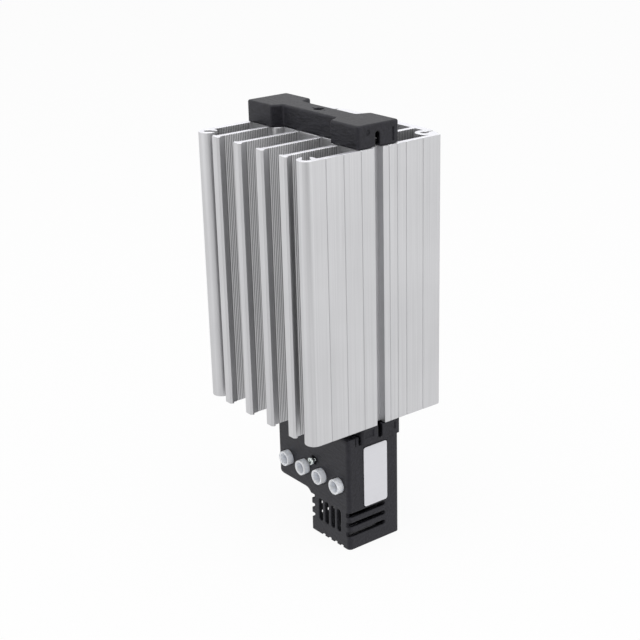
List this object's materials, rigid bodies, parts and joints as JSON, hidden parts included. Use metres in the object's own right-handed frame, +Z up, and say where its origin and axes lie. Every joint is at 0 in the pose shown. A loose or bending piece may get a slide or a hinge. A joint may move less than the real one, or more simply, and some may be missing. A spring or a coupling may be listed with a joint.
{
  "type": "enclosure heater",
  "caption": "Rail-mounted PTC enclosure heater: a tall ribbed aluminium extrusion with open front fins, black end caps and a stepped push-in terminal housing below.",
  "frame": {"origin": "centre of the rail clip's seat face, which lies against the mounting rail", "axes": "+Z up along the extrusion, +Y out of the seat face towards the rail, -Y towards the open fins and wire entries, +X towards the label side of the terminal housing"},
  "size_m": [0.07, 0.0733, 0.1702],
  "materials": {
    "anodised_aluminium": "satin anodised extrusion",
    "black_plastic": "moulded, lightly textured",
    "white_plastic": "translucent",
    "label_film": "matt film",
    "zinc_plated_steel": "bright zinc",
    "spring_steel": "bare",
    "tinned_brass": "tin plated",
    "stone_ceramic": "fired ceramic",
    "amber_film": "insulating film",
    "red_silicone": "smooth silicone"
  },
  "bodies": {
    "heater": {"heatsink_profile": "anodised_aluminium", "top_cap": "black_plastic", "top_cap_screw": "zinc_plated_steel", "cap_anchor": "black_plastic", "bottom_cap": "black_plastic", "bottom_cap_screw_left": "zinc_plated_steel", "bottom_cap_screw_right": "zinc_plated_steel", "terminal_housing": "black_plastic", "rating_label": "label_film", "housing_screw": "zinc_plated_steel", "clamp_carrier": "black_plastic", "clamp_spring_1": "spring_steel", "clamp_spring_2": "spring_steel", "clamp_spring_3": "spring_steel", "clamp_spring_4": "spring_steel", "contact_bar_line": "tinned_brass", "lead_line": "red_silicone", "contact_bar_neutral": "tinned_brass", "lead_neutral": "red_silicone", "ptc_stone_1": "stone_ceramic", "ptc_stone_2": "stone_ceramic", "ptc_stone_3": "stone_ceramic", "ptc_stone_4": "stone_ceramic", "electrode_front": "anodised_aluminium", "electrode_rear": "anodised_aluminium", "insulating_film": "amber_film", "rail_clip": "black_plastic", "rail_clip_screw_lower": "zinc_plated_steel", "rail_clip_screw_upper": "zinc_plated_steel"},
    "collar_1": {"release_collar_1": "white_plastic"},
    "collar_2": {"release_collar_2": "white_plastic"},
    "collar_3": {"release_collar_3": "white_plastic"},
    "collar_4": {"release_collar_4": "white_plastic"}
  },
  "joints": [
    {"name": "collar_1_push", "type": "slide", "parent": "heater", "child": "collar_1", "axis": [0, 1, 0], "range_m": [0, 0.0018], "stiffness_N_per_m": 3000, "springref_m": -0.0003},
    {"name": "collar_2_push", "type": "slide", "parent": "heater", "child": "collar_2", "axis": [0, 1, 0], "range_m": [0, 0.0018], "stiffness_N_per_m": 3000, "springref_m": -0.0003},
    {"name": "collar_3_push", "type": "slide", "parent": "heater", "child": "collar_3", "axis": [0, 1, 0], "range_m": [0, 0.0018], "stiffness_N_per_m": 3000, "springref_m": -0.0003},
    {"name": "collar_4_push", "type": "slide", "parent": "heater", "child": "collar_4", "axis": [0, 1, 0], "range_m": [0, 0.0018], "stiffness_N_per_m": 3000, "springref_m": -0.0003}
  ]
}
